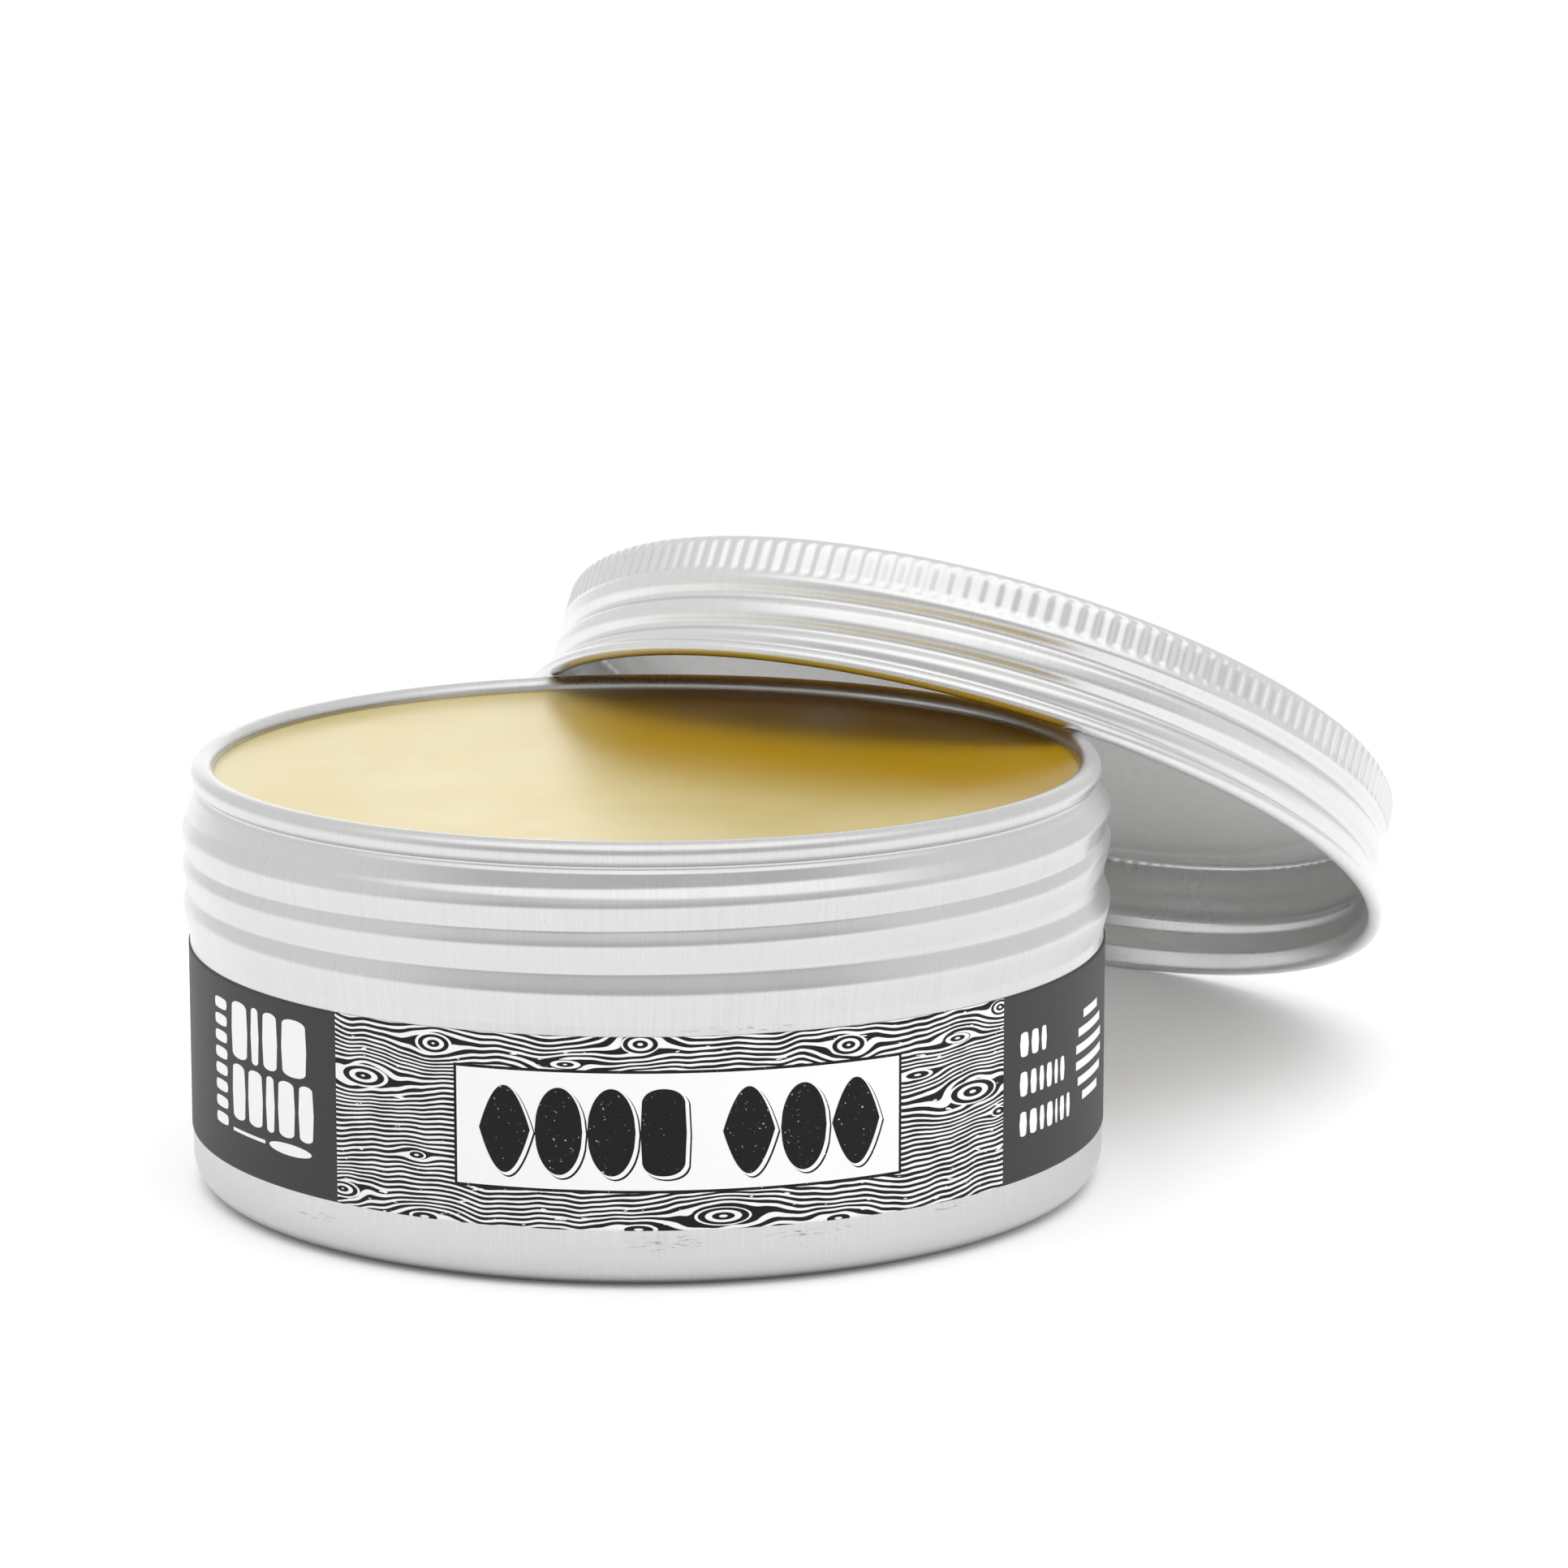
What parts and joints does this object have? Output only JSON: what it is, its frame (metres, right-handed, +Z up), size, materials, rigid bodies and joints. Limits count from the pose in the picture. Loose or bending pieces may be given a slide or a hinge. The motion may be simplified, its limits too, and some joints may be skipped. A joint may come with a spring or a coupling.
{
  "type": "screw-top tin",
  "caption": "Shallow round aluminium tin of wax with a rolled rim, screw thread and wrap label; its ribbed lid leans on the rim.",
  "frame": {"origin": "centre of the tin's base, on the surface it stands on", "axes": "+Z up along the tin's axis; the label's front faces -Y; the lid lies towards +X and +Y"},
  "size_m": [0.1134, 0.1299, 0.0533],
  "materials": {
    "tin_metal": "satin, fine upright brushing",
    "wax": "smooth set wax, soft gloss",
    "label_paper": "matt print, charcoal and white",
    "lid_metal": "satin",
    "liner_board": "foil-faced, satin"
  },
  "bodies": {
    "tin": {"tin_body": "tin_metal", "wax_fill": "wax", "label": "label_paper"},
    "liner": {"lid_liner": "liner_board"},
    "lid": {"lid_shell": "lid_metal"}
  },
  "joints": [
    {"name": "lid_swing", "type": "hinge", "parent": "tin", "child": "liner", "pos_m": [-0.00322, -0.00512, -0.06909], "axis": [0.8462, -0.5329, 0], "range_deg": [0, 30.67]},
    {"name": "lid_turn", "type": "hinge", "parent": "liner", "child": "lid", "pos_m": [0.0292, 0.04637, 0.02166], "axis": [0.2718, 0.4316, 0.8601], "continuous": true}
  ]
}
